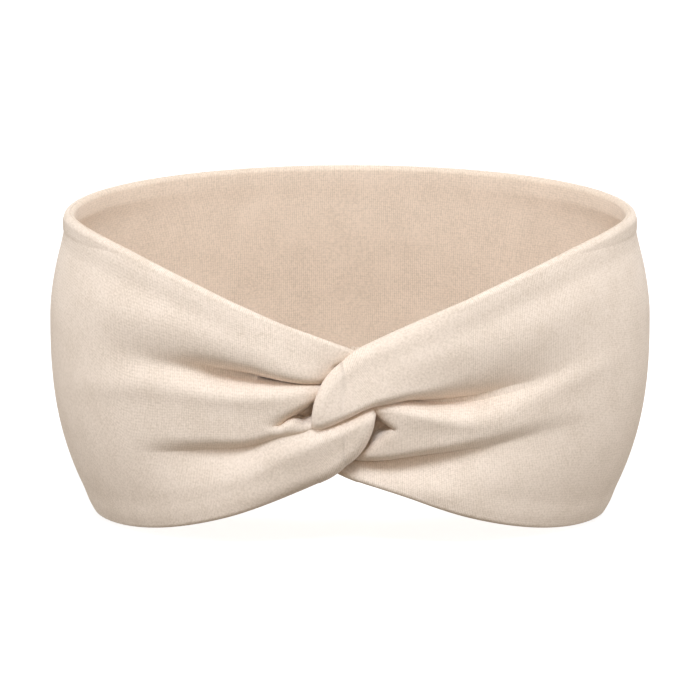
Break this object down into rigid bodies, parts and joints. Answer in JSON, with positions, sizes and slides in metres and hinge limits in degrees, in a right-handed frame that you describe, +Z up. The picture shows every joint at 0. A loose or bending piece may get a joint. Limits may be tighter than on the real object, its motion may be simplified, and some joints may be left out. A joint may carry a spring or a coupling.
{
  "type": "spa headband",
  "caption": "Wide stretch headband of two jersey layers, a closed loop with its ends crossed in a knot at the front.",
  "frame": {"origin": "middle of the headband's length and width, on the surface that it stands on", "axes": "+Z up, +X to the loop's right seen from the front, the knot faces -Y"},
  "size_m": [0.1902, 0.1413, 0.097],
  "materials": {
    "face_jersey": "matt brushed knit",
    "lining_jersey": "matt brushed knit",
    "sewing_thread": "matt thread"
  },
  "bodies": {
    "back": {"back_face_panel": "face_jersey", "back_lining_panel": "lining_jersey", "back_upper_edge_thread": "sewing_thread", "back_lower_edge_thread": "sewing_thread"},
    "front": {"right_face_panel": "face_jersey", "right_lining_panel": "lining_jersey", "right_upper_edge_thread": "sewing_thread", "right_lower_edge_thread": "sewing_thread", "left_face_panel": "face_jersey", "left_lining_panel": "lining_jersey", "left_upper_edge_thread": "sewing_thread", "left_lower_edge_thread": "sewing_thread", "join_needle_thread": "sewing_thread", "join_bobbin_thread": "sewing_thread", "join_overlock_thread": "sewing_thread"}
  },
  "joints": [
    {"name": "band_stretch", "type": "slide", "parent": "back", "child": "front", "axis": [0, -1, 0], "range_m": [0, 0.045], "stiffness_N_per_m": 130}
  ]
}
